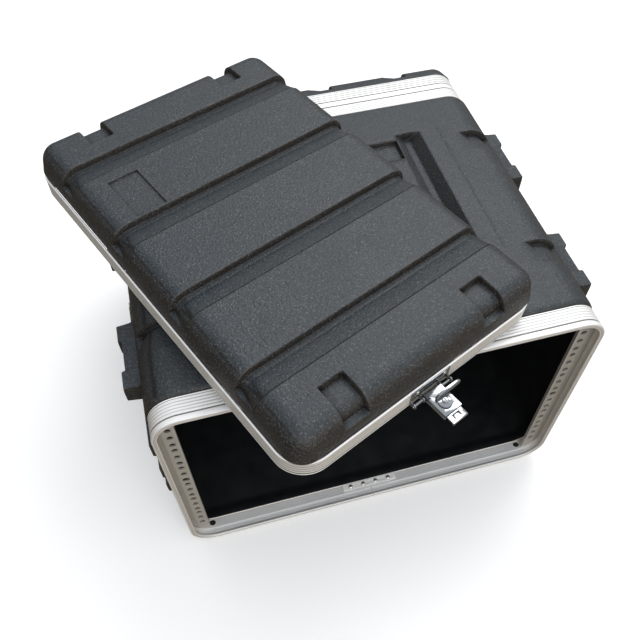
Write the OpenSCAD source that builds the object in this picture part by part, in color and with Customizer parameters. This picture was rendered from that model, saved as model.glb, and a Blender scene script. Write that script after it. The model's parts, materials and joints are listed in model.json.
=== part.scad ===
// Moulded equipment case for rack-mounted units, with metal edge frames, four butterfly latches,
// two side handles and two lift-off lids. The front lid is off and lies on top of the body.
// The origin is the middle of the front rack hole pattern, in the plane of the rails' front faces.
// +X is to the right, +Y runs from the front opening to the rear lid, +Z is up.

/* [Rack] */
// Number of rack units between the frames
rack_units = 6; // [4:1:6]
// Height of one rack unit
unit_pitch = 44.45; // [44.45:0.01:44.45]
// Clear width between the rails
rail_gap = 450; // [446:1:452]
// Distance across between the two columns of rack holes
hole_span = 465.1; // [464:0.1:466]
// Diameter of a rack hole
hole_d = 7.2; // [6:0.1:7.6]
// Diameter of the rack hole that is drilled out in each rail, next to its middle
big_hole_d = 8.6; // [8:0.1:9]

/* [Body] */
// Width over the moulded body
shell_w = 504; // [503:1:506]
// Height over the moulded body
shell_h = 331; // [329:1:335]
// Corner radius of the moulded body
shell_r = 39; // [38:1:40]
// Wall of the moulded body
shell_wall = 4; // [3:0.5:5]
// Where the moulded body starts behind the front frame
shell_front = 16; // [15:1:18]
// Where the moulded body ends before the rear frame
shell_rear = 397; // [380:1:420]

/* [Metal frames] */
// Width over a metal frame
frame_w = 499; // [498:1:500]
// Height over a metal frame
frame_h = 325; // [323:1:326]
// Corner radius of a metal frame
frame_r = 34; // [32:1:35]
// Wall of a metal frame
frame_wall = 2.2; // [2:0.1:2.4]
// Depth of a body frame from its rim to the moulded body
body_band = 28; // [26:0.5:29]
// Depth of a lid frame
lid_band = 23.5; // [22:0.5:25]
// How far the ridges stand out of a frame
ridge = 0.7; // [0.5:0.1:0.8]

/* [Lids] */
// Depth of a lid from its rim to its outer face
lid_depth = 58; // [56:1:64]
// Width over the moulded part of a lid
lid_w = 496; // [495:1:497]
// Height over the moulded part of a lid
lid_h = 322; // [321:1:323]
// Wall of a lid
lid_wall = 3; // [2.5:0.5:3.5]
// Rounding of a lid's outer edges
lid_edge_r = 21; // [20:1:26]
// How far a lid's sides lean in from its frame to its outer face
lid_draft = 3.5; // [1:0.5:4]
// Distance between the grooves of a lid
groove_pitch = 110.5; // [108:0.5:112]
// Width of a groove from its steep wall to its crease
groove_w = 30; // [26:1:32]
// Depth of a groove
groove_d = 8; // [6:0.5:9]

/* [Loose front lid] */
// Place of the middle of the lid's rim, to the right
lid_x = -78; // [-90:1:-60]
// Place of the middle of the lid's rim, to the rear
lid_y = 179; // [160:1:200]
// Height of the middle of the lid's rim
lid_z = 177.9; // [177.9:0.1:195]
// Turn of the lid about the vertical
lid_yaw = -65.7; // [-75:0.1:-55]
// Slope of the lid along its long side
lid_slope_long = 1.65; // [1:0.05:2]
// Slope of the lid along its short side
lid_slope_short = -1.45; // [-2:0.05:-1]

/* [Latches and handles] */
// Height of a latch hinge above the lid's rim
latch_rim = 6; // [5.5:0.1:7]
// Height of a latch hinge above the frame's face
latch_stand = 5.5; // [5.3:0.1:5.8]
// Half the width of a latch plate
latch_half = 11; // [10:0.5:12]
// Length of a latch plate from its hinge
latch_len = 28; // [26:1:30]
// Angle at which the loose lid's near latch stands open
near_open = 90; // [80:1:100]
// Angle at which the loose lid's far latch stands open, propping the lid up
far_open = 45; // [45:1:60]
// Angle at which the rear latches stand open
rear_open = 25; // [20:1:40]
// Length of a side handle's plate
handle_len = 101; // [96:1:102]
// Height of a side handle's plate
handle_h = 84; // [80:1:88]

/* [Hidden] */
$fn = 64;

black = [0.10, 0.11, 0.12];
bright = [0.86, 0.86, 0.84];
rail_grey = [0.62, 0.60, 0.56];
zinc = [0.80, 0.82, 0.84];
rubber = [0.06, 0.06, 0.07];

far = 900;
mid_z = 0;
rack_h = rack_units * unit_pitch;
rail_t = 2;
rail_step_x = 240;
rail_step = 1.2;
rail_leg = 4;
fit_gap = 0.1;
front_rim = shell_front - body_band;
rear_rim = shell_rear + body_band;
rim_gap = 0.3;
lip_t = 2.2;
lip_w = 6;
bead_len = 6.8;
dark_groove = 1.4;
ridge_count = 5;
seam_gap = 0.4;
neck_len = 3;
flange_len = 3;
flange_in = 8.2;
inner_half_w = frame_w / 2 - frame_wall;
inner_half_h = frame_h / 2 - frame_wall;

corner_hole_x = 222;
corner_hole_y = 7.8;
splice_rivet_pitch = 18;
splice_rivet_y = 8.3;
splice_len = 76;
splice_t = 1.5;
rivet_r = 1.6;
rivet_head_r = 3;
rivet_head_t = 1.2;
rail_rivet_y = 8;
rail_rivet_zs = [-110, -55, 55, 110];

lug_h = 25;
lug_top = 135;
lug_out = 270;
lug_notch = 4;
lug_spans = [[55, 141], [243, 335]];
guard_out = 264;
guard_span = [16, 45];
guard_spans = [[32, 151], [262, 381]];
top_groove = [[155, 0], [139, 11], [133, 11], [118, 0]];
top_groove_span = [112, 333];
top_pocket = [[62, 119], [288, 323]];
top_pocket_d = 7;
edge_pocket_d = 7;
edge_pocket_len = 35;
edge_pocket_x = 208;
edge_pocket_ys = [112, 315];

keeper_half = 20;
keeper_lip_half = 9;
keeper_in = 18;
keeper_out = 30.2;
keeper_lip_t = 1.6;
sheet_t = 1.2;

handle_y = (shell_front + shell_rear) / 2;
handle_t = 2;
handle_axis_x = 263.5;
handle_axis_z = 30;
barrel_r = 4;
bail_pin_r = 3;
bail_arm_r = 3.4;
bail_bar_r = 3.2;
bail_half = 46.5;
barrel_half = 42.5;
bail_drop = 56;
grip_r = 6.5;
grip_half = 38;

lid_neck = 11.5;
side_cut = 7.5;
side_cut_low = 38;
side_cut_w = 22;
pocket_mid = 90;
pocket_half = 14;
pocket_from = 204;
pocket_d = 7;
badge = [[-135, -73], [-122, -86]];
badge_d = 1.8;
lid_splice_w = 6.5;

pin_r = 1.5;
run_gap = 0.05;
knuckle_r = 3.2;
pin_half = 26.5;
ear_inner = 11.8;
ear_outer = 24;
ear_t = 1.5;
hook_from = 9.8;
hook_to = 38;
wing_a = 16;
wing_post_r = 2.5;

// ---------------------------------------------------------------- shared shapes

module round_rect(w, h, r) {
    square([w - 2 * r, h], center = true);
    square([w, h - 2 * r], center = true);
    for (x = [-1, 1]) {
        for (y = [-1, 1]) {
            translate([x * (w / 2 - r), y * (h / 2 - r)]) circle(r);
        }
    }
}

module round_ring(w, h, r, wall) {
    difference() {
        round_rect(w, h, r);
        round_rect(w - 2 * wall, h - 2 * wall, r - wall);
    }
}

// A dome-headed rivet along +Z: its head is outside z = 0 and its shank ends at -grip.
module rivet(grip) {
    translate([0, 0, -grip]) cylinder(r = rivet_r, h = grip + rivet_head_t / 2);
    cylinder(r1 = rivet_head_r, r2 = rivet_head_r * 0.6, h = rivet_head_t);
}

// A metal edge frame on the XY plane, rim down, with its ridges round the outside.
module edge_frame(band, bead, seam_side) {
    first = bead + dark_groove;
    step = (band - first) / ridge_count;
    difference() {
        union() {
            linear_extrude(band) {
                round_ring(frame_w - 2 * ridge, frame_h - 2 * ridge, frame_r - ridge, frame_wall - ridge);
            }
            linear_extrude(bead) round_ring(frame_w, frame_h, frame_r, frame_wall);
            linear_extrude(lip_t) round_ring(frame_w - 1, frame_h - 1, frame_r - 0.5, lip_w - 0.5);
            for (k = [0 : ridge_count - 1]) {
                translate([0, 0, first + k * step]) {
                    linear_extrude(step * 0.7 + (k == ridge_count - 1 ? step * 0.3 : 0)) {
                        round_ring(frame_w, frame_h, frame_r, ridge + 0.4);
                    }
                }
            }
        }
        translate([0, seam_side * frame_h / 2, band / 2]) cube([seam_gap, 20, band + 2], center = true);
    }
}

// ---------------------------------------------------------------- places

module at_front_frame() {
    translate([0, front_rim, mid_z]) rotate([-90, 0, 0]) children();
}

module at_rear_frame() {
    translate([0, rear_rim, mid_z]) rotate([90, 0, 0]) children();
}

module at_front_lid() {
    translate([lid_x, lid_y, lid_z]) rotate([lid_slope_short, lid_slope_long, lid_yaw]) children();
}

module at_rear_lid() {
    translate([0, rear_rim + rim_gap, mid_z]) rotate([90, 0, 180]) children();
}

// A latch hinge on a lid's short side: +X runs towards the body when shut, +Z points outwards.
module at_lid_latch(side, open) {
    translate([side * (frame_w / 2 + latch_stand), 0, latch_rim]) {
        rotate([0, 90, side > 0 ? 0 : 180]) rotate([0, -open, 0]) children();
    }
}

// The same axes for the keepers on the body, as if the lids were shut.
module at_keeper(front, side) {
    hinge_y = front ? front_rim - latch_rim : rear_rim + rim_gap + latch_rim;
    flip = (front ? 1 : -1) * side;
    translate([side * (frame_w / 2 + latch_stand), hinge_y, mid_z]) {
        rotate([flip * 90, 0, front ? 90 : -90]) children();
    }
}

module on_left() {
    mirror([1, 0, 0]) children();
}

// ---------------------------------------------------------------- body

module top_cuts(grow) {
    surface = shell_h / 2 - grow;
    for (side = [-1, 1]) {
        mirror([side < 0 ? 1 : 0, 0, 0]) {
            translate([0, top_groove_span[1] + grow, 0]) rotate([90, 0, 0]) {
                linear_extrude(top_groove_span[1] - top_groove_span[0] + 2 * grow) {
                    polygon([
                        [top_groove[0][0] + grow, surface + 1],
                        [top_groove[0][0] + grow, surface],
                        [top_groove[1][0] + grow, surface - top_groove[1][1]],
                        [top_groove[2][0] - grow, surface - top_groove[2][1]],
                        [top_groove[3][0] - grow, surface],
                        [top_groove[3][0] - grow, surface + 1]
                    ]);
                }
            }
            translate([top_pocket[0][0] - grow, top_pocket[1][0] - grow, surface - top_pocket_d]) {
                cube([
                    top_pocket[0][1] - top_pocket[0][0] - 2 - grow,
                    top_pocket[1][1] - top_pocket[1][0] + 2 * grow,
                    top_pocket_d + 1
                ]);
            }
            for (y = edge_pocket_ys) {
                translate([edge_pocket_x - grow, 0, 0]) rotate([90, 0, 90]) {
                    linear_extrude(70) {
                        polygon([
                            [y + grow, surface + 20],
                            [y + grow, surface - edge_pocket_d],
                            [y - edge_pocket_len, surface],
                            [y - edge_pocket_len, surface + 20]
                        ]);
                    }
                }
            }
        }
    }
}

module body_form(grow, y0, y1) {
    difference() {
        translate([0, y1, mid_z]) rotate([90, 0, 0]) {
            linear_extrude(y1 - y0) round_rect(shell_w - 2 * grow, shell_h - 2 * grow, shell_r - grow);
        }
        top_cuts(grow);
    }
}

module side_lugs() {
    inner = shell_w / 2 - 2;
    for (side = [0, 1]) {
        mirror([side, 0, 0]) {
            for (span = lug_spans) {
                long = span[1] - span[0];
                for (z = [mid_z + lug_top - lug_h, mid_z - lug_top]) {
                    difference() {
                        translate([inner, span[0], z]) cube([lug_out - inner, long, lug_h]);
                        translate([lug_out - lug_notch, span[0] + long * 0.29, z - 1]) {
                            cube([lug_notch + 1, long * 0.44, lug_h + 2]);
                        }
                    }
                }
            }
            for (span = guard_spans) {
                for (z = [mid_z + guard_span[0], mid_z - guard_span[1]]) {
                    translate([inner, span[0], z]) {
                        cube([guard_out - inner, span[1] - span[0], guard_span[1] - guard_span[0]]);
                    }
                }
            }
        }
    }
}

module shell_end(y0, y1, w, h, r) {
    translate([0, y1, mid_z]) rotate([90, 0, 0]) {
        linear_extrude(y1 - y0) {
            difference() {
                round_rect(w, h, r);
                round_rect(shell_w - 2 * flange_in, shell_h - 2 * flange_in, shell_r - flange_in);
            }
        }
    }
}

module body_shell() {
    neck_w = 2 * inner_half_w - 4 * fit_gap;
    neck_h = 2 * inner_half_h - 4 * fit_gap;
    neck_r = frame_r - frame_wall - 2 * fit_gap;
    color(black) {
        difference() {
            union() {
                difference() {
                    body_form(0, shell_front, shell_rear);
                    body_form(shell_wall, shell_front - 1, shell_rear + 1);
                }
                shell_end(shell_front, shell_front + flange_len, shell_w - 2, shell_h - 2, shell_r - 1);
                shell_end(shell_rear - flange_len, shell_rear, shell_w - 2, shell_h - 2, shell_r - 1);
                shell_end(shell_front - neck_len, shell_front + 1, neck_w, neck_h, neck_r);
                shell_end(shell_rear - 1, shell_rear + neck_len, neck_w, neck_h, neck_r);
                side_lugs();
            }
            for (side = [-1, 1]) {
                handle_rivet_holes(side);
            }
        }
    }
}

// ---------------------------------------------------------------- body frames and rails

module frame_rail_holes() {
    for (side = [-1, 1]) {
        for (z = rail_rivet_zs) {
            translate([side * (inner_half_w - 5), z, rail_rivet_y - front_rim]) {
                rotate([0, side * 90, 0]) cylinder(r = rivet_r + run_gap, h = 12);
            }
        }
    }
}

module keeper_holes() {
    for (a = [keeper_in + 6]) {
        for (t = [-15, 15]) {
            translate([a, t, -latch_stand - 6]) cylinder(r = rivet_r + run_gap, h = 12);
        }
    }
}

module splice_holes(pitch, depth) {
    for (k = [-1.5, -0.5, 0.5, 1.5]) {
        translate([k * pitch, 0, -depth]) cylinder(r = rivet_r + run_gap, h = 2 * depth);
    }
}

module body_frame(front) {
    difference() {
        if (front) {
            at_front_frame() body_frame_blank();
        } else {
            at_rear_frame() body_frame_blank_turned();
        }
        for (side = [-1, 1]) {
            at_keeper(front, side) keeper_holes();
        }
    }
}

module body_frame_blank() {
    difference() {
        edge_frame(body_band, bead_len, 1);
        frame_rail_holes();
        translate([0, frame_h / 2, splice_rivet_y - front_rim]) {
            rotate([90, 0, 0]) splice_holes(splice_rivet_pitch, 8);
        }
        for (x = [-corner_hole_x, corner_hole_x]) {
            translate([x, frame_h / 2 - 8, corner_hole_y - front_rim]) {
                rotate([-90, 0, 0]) cylinder(r = big_hole_d / 2, h = 16);
            }
        }
    }
}

module body_frame_blank_turned() {
    rotate([0, 0, 180]) body_frame_blank();
}

module front_frame() {
    color(bright) body_frame(true);
}

module rear_frame() {
    color(bright) body_frame(false);
}

// The splice lies inside the bottom of a body frame, across its seam.
module body_splice() {
    low = -(inner_half_h);
    difference() {
        translate([-splice_len / 2, low, splice_rivet_y - front_rim - 4]) {
            cube([splice_len, splice_t, 8]);
        }
        translate([0, low, splice_rivet_y - front_rim]) {
            rotate([90, 0, 0]) splice_holes(splice_rivet_pitch, 8);
        }
    }
}

module body_splice_rivets() {
    low = -(inner_half_h) + splice_t;
    for (k = [-1.5, -0.5, 0.5, 1.5]) {
        translate([k * splice_rivet_pitch, low, splice_rivet_y - front_rim]) {
            rotate([-90, 0, 0]) rivet(splice_t + frame_wall - 0.3);
        }
    }
}

// The seam side of a body frame is down, so its inside parts are built on the -Y side of the frame.
module in_front_frame() {
    at_front_frame() rotate([0, 0, 180]) children();
}

module in_rear_frame() {
    at_rear_frame() children();
}

module front_frame_splice() {
    color(bright) in_front_frame() body_splice();
}

module rear_frame_splice() {
    color(bright) in_rear_frame() body_splice();
}

module frame_splice_rivets() {
    color(zinc) {
        in_front_frame() body_splice_rivets();
        in_rear_frame() body_splice_rivets();
    }
}

// The right-hand rail of the front pair: its face is the plane y = 0.
module rail() {
    in_x = rail_gap / 2;
    out_x = inner_half_w - fit_gap;
    difference() {
        intersection() {
            translate([0, 0, mid_z - 160]) linear_extrude(320) {
                polygon([
                    [in_x, 0],
                    [rail_step_x, 0],
                    [rail_step_x, rail_step],
                    [out_x, rail_step],
                    [out_x, 12.5],
                    [out_x - rail_t, 12.5],
                    [out_x - rail_t, rail_step + rail_t],
                    [rail_step_x - rail_t, rail_step + rail_t],
                    [rail_step_x - rail_t, rail_t],
                    [in_x + rail_t, rail_t],
                    [in_x + rail_t, rail_leg],
                    [in_x, rail_leg]
                ]);
            }
            translate([0, 50, mid_z]) rotate([90, 0, 0]) linear_extrude(100) {
                round_rect(
                    2 * (inner_half_w - fit_gap),
                    2 * (inner_half_h - 4),
                    frame_r - frame_wall - fit_gap
                );
            }
        }
        for (u = [0 : rack_units - 1]) {
            for (k = [0 : 2]) {
                drilled = u == 3 && k == 0;
                z = mid_z + rack_h / 2 - u * unit_pitch - 6.35 - k * 15.875;
                translate([hole_span / 2, -1, z]) rotate([-90, 0, 0]) {
                    cylinder(r = (drilled ? big_hole_d : hole_d) / 2, h = rail_t + 2);
                }
            }
        }
        for (z = rail_rivet_zs) {
            translate([out_x - 4, rail_rivet_y, mid_z + z]) {
                rotate([0, 90, 0]) cylinder(r = rivet_r + run_gap, h = 8);
            }
        }
    }
}

// The left-hand rail is the same part turned end for end.
module rail_turned() {
    rotate([0, 180, 0]) rail();
}

// Carries a front rail to the same place in the rear frame.
module to_rear() {
    translate([0, front_rim + rear_rim, 0]) mirror([0, 1, 0]) children();
}

module front_rail_right() {
    color(rail_grey) rail();
}

module front_rail_left() {
    color(rail_grey) rail_turned();
}

module rear_rail_right() {
    color(rail_grey) to_rear() rail();
}

module rear_rail_left() {
    color(rail_grey) to_rear() rail_turned();
}

module rail_rivet_row() {
    for (z = rail_rivet_zs) {
        translate([frame_w / 2, rail_rivet_y, mid_z + z]) {
            rotate([0, 90, 0]) rivet(frame_wall + rail_t + 0.2);
        }
    }
}

module rail_rivets() {
    color(zinc) {
        rail_rivet_row();
        on_left() rail_rivet_row();
        to_rear() rail_rivet_row();
        to_rear() on_left() rail_rivet_row();
    }
}

// ---------------------------------------------------------------- keepers

module keeper() {
    foot = -latch_stand;
    difference() {
        union() {
            translate([keeper_in, -keeper_half, foot]) {
                cube([keeper_out - keeper_in, 2 * keeper_half, sheet_t]);
            }
            translate([keeper_out - keeper_lip_t, -keeper_lip_half, foot]) {
                cube([keeper_lip_t, 2 * keeper_lip_half, latch_stand + 0.4]);
            }
        }
        keeper_holes();
    }
}

module keeper_rivet_pair() {
    for (t = [-15, 15]) {
        translate([keeper_in + 6, t, -latch_stand + sheet_t]) rivet(sheet_t + frame_wall - 0.2);
    }
}

module front_keeper_left() {
    color(zinc) at_keeper(true, -1) keeper();
}

module front_keeper_right() {
    color(zinc) at_keeper(true, 1) keeper();
}

module rear_keeper_left() {
    color(zinc) at_keeper(false, -1) keeper();
}

module rear_keeper_right() {
    color(zinc) at_keeper(false, 1) keeper();
}

module keeper_rivets() {
    color(zinc) {
        for (side = [-1, 1]) {
            at_keeper(true, side) keeper_rivet_pair();
            at_keeper(false, side) keeper_rivet_pair();
        }
    }
}

// ---------------------------------------------------------------- side handles

module handle_corners() {
    for (y = [-1, 1]) {
        for (z = [-1, 1]) {
            translate([shell_w / 2, handle_y + y * (handle_len / 2 - 6), mid_z + z * (handle_h / 2 - 6)]) {
                children();
            }
        }
    }
}

module handle_rivet_holes(side) {
    mirror([side < 0 ? 1 : 0, 0, 0]) handle_corners() {
        translate([-8, 0, 0]) rotate([0, 90, 0]) cylinder(r = rivet_r + run_gap, h = 16);
    }
}

module handle_plate() {
    difference() {
        union() {
            translate([shell_w / 2, handle_y - handle_len / 2, mid_z - handle_h / 2]) {
                cube([handle_t, handle_len, handle_h]);
            }
            translate([shell_w / 2 + 1, handle_y - barrel_half, mid_z + handle_axis_z - 3]) {
                cube([handle_axis_x - shell_w / 2 - 1, 2 * barrel_half, 6]);
            }
            translate([handle_axis_x, handle_y - barrel_half, mid_z + handle_axis_z]) {
                rotate([-90, 0, 0]) cylinder(r = barrel_r, h = 2 * barrel_half);
            }
        }
        translate([handle_axis_x, handle_y - barrel_half - 1, mid_z + handle_axis_z]) {
            rotate([-90, 0, 0]) cylinder(r = bail_pin_r + run_gap, h = 2 * barrel_half + 2);
        }
        handle_rivet_holes(1);
    }
}

module handle_bail() {
    top = mid_z + handle_axis_z;
    for (s = [-1, 1]) {
        translate([handle_axis_x, handle_y + s * bail_half, top - bail_drop - bail_arm_r - 0.6]) {
            cylinder(r = bail_arm_r, h = bail_drop + 2 * bail_arm_r + 1.2);
        }
        translate([handle_axis_x, handle_y + (s < 0 ? -bail_half : bail_half - 20), top]) {
            rotate([-90, 0, 0]) cylinder(r = bail_pin_r, h = 20);
        }
    }
    translate([handle_axis_x, handle_y - bail_half, top - bail_drop]) {
        rotate([-90, 0, 0]) cylinder(r = bail_bar_r, h = 2 * bail_half);
    }
}

module handle_grip() {
    translate([handle_axis_x, handle_y - grip_half, mid_z + handle_axis_z - bail_drop]) {
        rotate([-90, 0, 0]) difference() {
            cylinder(r = grip_r, h = 2 * grip_half);
            translate([0, 0, -1]) cylinder(r = bail_bar_r + run_gap, h = 2 * grip_half + 2);
        }
    }
}

module handle_rivet_set() {
    handle_corners() translate([handle_t, 0, 0]) rotate([0, 90, 0]) rivet(handle_t + shell_wall);
}

module handle_plate_right() {
    color(zinc) handle_plate();
}

module handle_plate_left() {
    color(zinc) on_left() handle_plate();
}

module handle_bail_right() {
    color(zinc) handle_bail();
}

module handle_bail_left() {
    color(zinc) on_left() handle_bail();
}

module handle_grip_right() {
    color(rubber) handle_grip();
}

module handle_grip_left() {
    color(rubber) on_left() handle_grip();
}

module handle_rivets() {
    color(zinc) {
        handle_rivet_set();
        on_left() handle_rivet_set();
    }
}

// ---------------------------------------------------------------- lids

function groove_start(k) = (k - 1.5) * groove_pitch - groove_w / 2;

// The grooves, edge pockets and badge recess, grown by the wall for the inside of the lid.
module lid_cuts(grow) {
    top = lid_depth - grow;
    for (k = [0 : 3]) {
        u0 = groove_start(k);
        translate([0, lid_h, 0]) rotate([90, 0, 0]) linear_extrude(2 * lid_h) {
            polygon([
                [u0 - grow, top + 1],
                [u0 - grow, top - groove_d],
                [u0 + 6 + grow, top - groove_d],
                [u0 + groove_w + grow, top - 1],
                [u0 + groove_w + grow, top + 1]
            ]);
        }
        for (side = [0, 1]) {
            mirror([0, side, 0]) {
                translate([u0 - grow, lid_h / 2 - side_cut - grow, side_cut_low - grow]) {
                    cube([side_cut_w + 2 * grow, 20, lid_depth]);
                }
            }
        }
    }
    for (su = [0, 1]) {
        for (sv = [0, 1]) {
            mirror([su, 0, 0]) mirror([0, sv, 0]) {
                translate([pocket_from - grow, pocket_mid - pocket_half - grow, top - pocket_d]) {
                    cube([80, 2 * (pocket_half + grow), pocket_d + 1]);
                }
                translate([
                    lid_w / 2 - side_cut - grow,
                    pocket_mid - pocket_half - grow,
                    side_cut_low - grow
                ]) {
                    cube([20, 2 * (pocket_half + grow), lid_depth]);
                }
            }
        }
    }
}

// The outline of a lid from one side: leaning sides that run into its rounded outer edges.
module lid_profile(w, top, r) {
    x = w / 2 - lid_draft - r;
    reach = [lid_draft + r, lid_band - top + r];
    a = atan2(reach[1], reach[0]) + acos(r / norm(reach));
    tip = [x + r * cos(a), top - r + r * sin(a)];
    polygon([
        [-w / 2, 0], [w / 2, 0], [w / 2, lid_band], tip, [x, top - r],
        [-x, top - r], [-tip[0], tip[1]], [-w / 2, lid_band]
    ]);
    translate([-x, lid_band - 2]) square([2 * x, top - lid_band + 2]);
    for (side = [-1, 1]) {
        translate([side * x, top - r]) circle(r);
    }
}

module lid_form(grow, low) {
    r = lid_edge_r - grow;
    w = lid_w - 2 * grow;
    h = lid_h - 2 * grow;
    top = lid_depth - grow;
    difference() {
        intersection() {
            translate([0, 0, low]) linear_extrude(top + 1 - low) round_rect(w, h, frame_r - 1.5 - grow);
            translate([0, lid_h, 0]) rotate([90, 0, 0]) linear_extrude(2 * lid_h) lid_profile(w, top, r);
            translate([-lid_w, 0, 0]) rotate([90, 0, 90]) linear_extrude(2 * lid_w) lid_profile(h, top, r);
        }
        lid_cuts(grow);
    }
}

module lid_shell() {
    difference() {
        union() {
            lid_form(0, lid_band);
            translate([0, 0, lid_neck]) linear_extrude(lid_band - lid_neck + 1) {
                round_rect(
                    2 * inner_half_w - 4 * fit_gap,
                    2 * inner_half_h - 4 * fit_gap,
                    frame_r - frame_wall - 2 * fit_gap
                );
            }
        }
        lid_form(lid_wall, lid_neck - 1);
        translate([badge[0][0], badge[1][0], lid_depth - badge_d]) {
            cube([badge[0][1] - badge[0][0], badge[1][1] - badge[1][0], badge_d + 1]);
        }
    }
}

module lid_frame(seam_side) {
    difference() {
        edge_frame(lid_band, 2.4, seam_side);
        translate([0, seam_side * frame_h / 2, lid_splice_w]) {
            rotate([90, 0, 0]) splice_holes(splice_rivet_pitch, 8);
        }
        for (side = [-1, 1]) {
            at_lid_latch(side, 0) bracket_holes();
        }
    }
}

module lid_splice(seam_side) {
    mirror([0, seam_side > 0 ? 0 : 1, 0]) difference() {
        translate([-splice_len / 2, inner_half_h - splice_t, lid_splice_w - 4]) {
            cube([splice_len, splice_t, 8]);
        }
        translate([0, inner_half_h, lid_splice_w]) {
            rotate([90, 0, 0]) splice_holes(splice_rivet_pitch, 8);
        }
    }
}

// Rivets of a lid: four through its splice and two through each latch bracket.
module lid_rivets(seam_side) {
    mirror([0, seam_side > 0 ? 0 : 1, 0]) {
        for (k = [-1.5, -0.5, 0.5, 1.5]) {
            translate([k * splice_rivet_pitch, inner_half_h - splice_t, lid_splice_w]) {
                rotate([90, 0, 0]) rivet(splice_t + frame_wall - 0.3);
            }
        }
    }
    for (side = [-1, 1]) {
        at_lid_latch(side, 0) for (t = [-18, 18]) {
            translate([-13, t, -latch_stand + sheet_t]) rivet(sheet_t + frame_wall - 0.2);
        }
    }
}

module front_lid_shell() {
    color(black) at_front_lid() lid_shell();
}

module front_lid_frame() {
    color(bright) at_front_lid() lid_frame(1);
}

module front_lid_splice() {
    color(bright) at_front_lid() lid_splice(1);
}

module front_lid_rivets() {
    color(zinc) at_front_lid() lid_rivets(1);
}

module rear_lid_shell() {
    color(black) at_rear_lid() lid_shell();
}

module rear_lid_frame() {
    color(bright) at_rear_lid() lid_frame(-1);
}

module rear_lid_splice() {
    color(bright) at_rear_lid() lid_splice(-1);
}

module rear_lid_rivets() {
    color(zinc) at_rear_lid() lid_rivets(-1);
}

// ---------------------------------------------------------------- latches

module bracket_holes() {
    for (t = [-18, 18]) {
        translate([-13, t, -latch_stand - 5]) cylinder(r = rivet_r + run_gap, h = 10);
    }
}

module bracket_ear(t0) {
    translate([0, t0, 0]) rotate([-90, 0, 0]) cylinder(r = 3, h = ear_t);
    translate([-2.6, t0, -latch_stand]) cube([5.2, ear_t, latch_stand]);
}

module latch_bracket() {
    difference() {
        union() {
            translate([-17.4, -ear_outer - ear_t, -latch_stand]) {
                cube([12, 2 * (ear_outer + ear_t), sheet_t]);
            }
            for (t0 = [ear_inner, ear_outer, -ear_inner - ear_t, -ear_outer - ear_t]) {
                bracket_ear(t0);
            }
            for (t0 = [ear_inner, -ear_outer - ear_t]) {
                translate([-6, t0, -latch_stand]) cube([8, ear_outer - ear_inner + ear_t, sheet_t]);
            }
        }
        translate([0, -40, 0]) rotate([-90, 0, 0]) cylinder(r = pin_r + run_gap, h = 80);
        bracket_holes();
    }
}

module latch_pin() {
    translate([0, -pin_half, 0]) rotate([-90, 0, 0]) cylinder(r = pin_r, h = 2 * pin_half);
}

module latch_plate() {
    difference() {
        union() {
            translate([0, -latch_half, 0]) {
                rotate([-90, 0, 0]) cylinder(r = knuckle_r, h = 2 * latch_half);
            }
            translate([-1, -latch_half, 0]) cube([3.6, 2 * latch_half, 4.7]);
            translate([-1, -latch_half, 3.5]) cube([latch_len + 1, 2 * latch_half, 1.2]);
            for (t0 = [-latch_half, latch_half - 1.2]) {
                translate([1, t0, -2]) cube([latch_len - 1, 1.2, 6.7]);
            }
        }
        translate([0, -40, 0]) rotate([-90, 0, 0]) cylinder(r = pin_r + run_gap, h = 80);
        translate([wing_a, 0, 0]) cylinder(r = wing_post_r + run_gap, h = 10);
    }
}

// The hook slides inside the plate, forked round the wing's post, and reaches behind the keeper's lip.
module latch_hook() {
    half = latch_half - 1.2 - 0.3;
    difference() {
        union() {
            translate([hook_from, -half, 0.8]) cube([hook_to - hook_from, 2 * half, 2]);
            translate([hook_to - 1.6, -half, -0.8]) cube([1.6, 2 * half, 3.6]);
        }
        translate([hook_from - 1, -wing_post_r - 0.2, 0]) {
            cube([wing_a + wing_post_r + 7.2 - hook_from, 2 * wing_post_r + 0.4, 4]);
        }
        translate([30, -4.4, 0]) cube([1, 8.8, 4]);
        for (t = [-4.4, 3.4]) {
            translate([30, t, 0]) cube([4.6, 1, 4]);
        }
    }
}

// The wing turns on a post through the plate; its fin stands beside the screw head.
module latch_wing() {
    translate([wing_a, 0, 0.9]) cylinder(r = wing_post_r, h = 5);
    difference() {
        union() {
            translate([wing_a, 0, 4.8]) cylinder(r = 7.4, h = 2);
            translate([wing_a, 0, 6]) cylinder(r = 3.2, h = 2.2);
            translate([wing_a - 7.5, 0, 4.8]) rotate([0, 90, 0]) linear_extrude(2.8) {
                polygon([
                    [0, -6], [-5, -6.4], [-8, -3.5], [-9.5, 4], [-10, 20],
                    [-9, 23.5], [-6, 24.8], [-3.4, 23], [-2.6, 19], [-1.6, 9], [0, 5]
                ]);
            }
        }
        translate([wing_a - 4, -0.4, 7.4]) cube([8, 0.8, 3]);
    }
}

module front_latch(side) {
    at_front_lid() at_lid_latch(side, side > 0 ? near_open : far_open) children();
}

module rear_latch(side) {
    at_rear_lid() at_lid_latch(side, rear_open) children();
}

module front_latch_right_bracket() {
    color(zinc) at_front_lid() at_lid_latch(1, 0) latch_bracket();
}

module front_latch_right_pin() {
    color(zinc) front_latch(1) latch_pin();
}

module front_latch_right_plate() {
    color(zinc) front_latch(1) latch_plate();
}

module front_latch_right_hook() {
    color(zinc) front_latch(1) latch_hook();
}

module front_latch_right_wing() {
    color(zinc) front_latch(1) latch_wing();
}

module front_latch_left_bracket() {
    color(zinc) at_front_lid() at_lid_latch(-1, 0) latch_bracket();
}

module front_latch_left_pin() {
    color(zinc) front_latch(-1) latch_pin();
}

module front_latch_left_plate() {
    color(zinc) front_latch(-1) latch_plate();
}

module front_latch_left_hook() {
    color(zinc) front_latch(-1) latch_hook();
}

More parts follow.
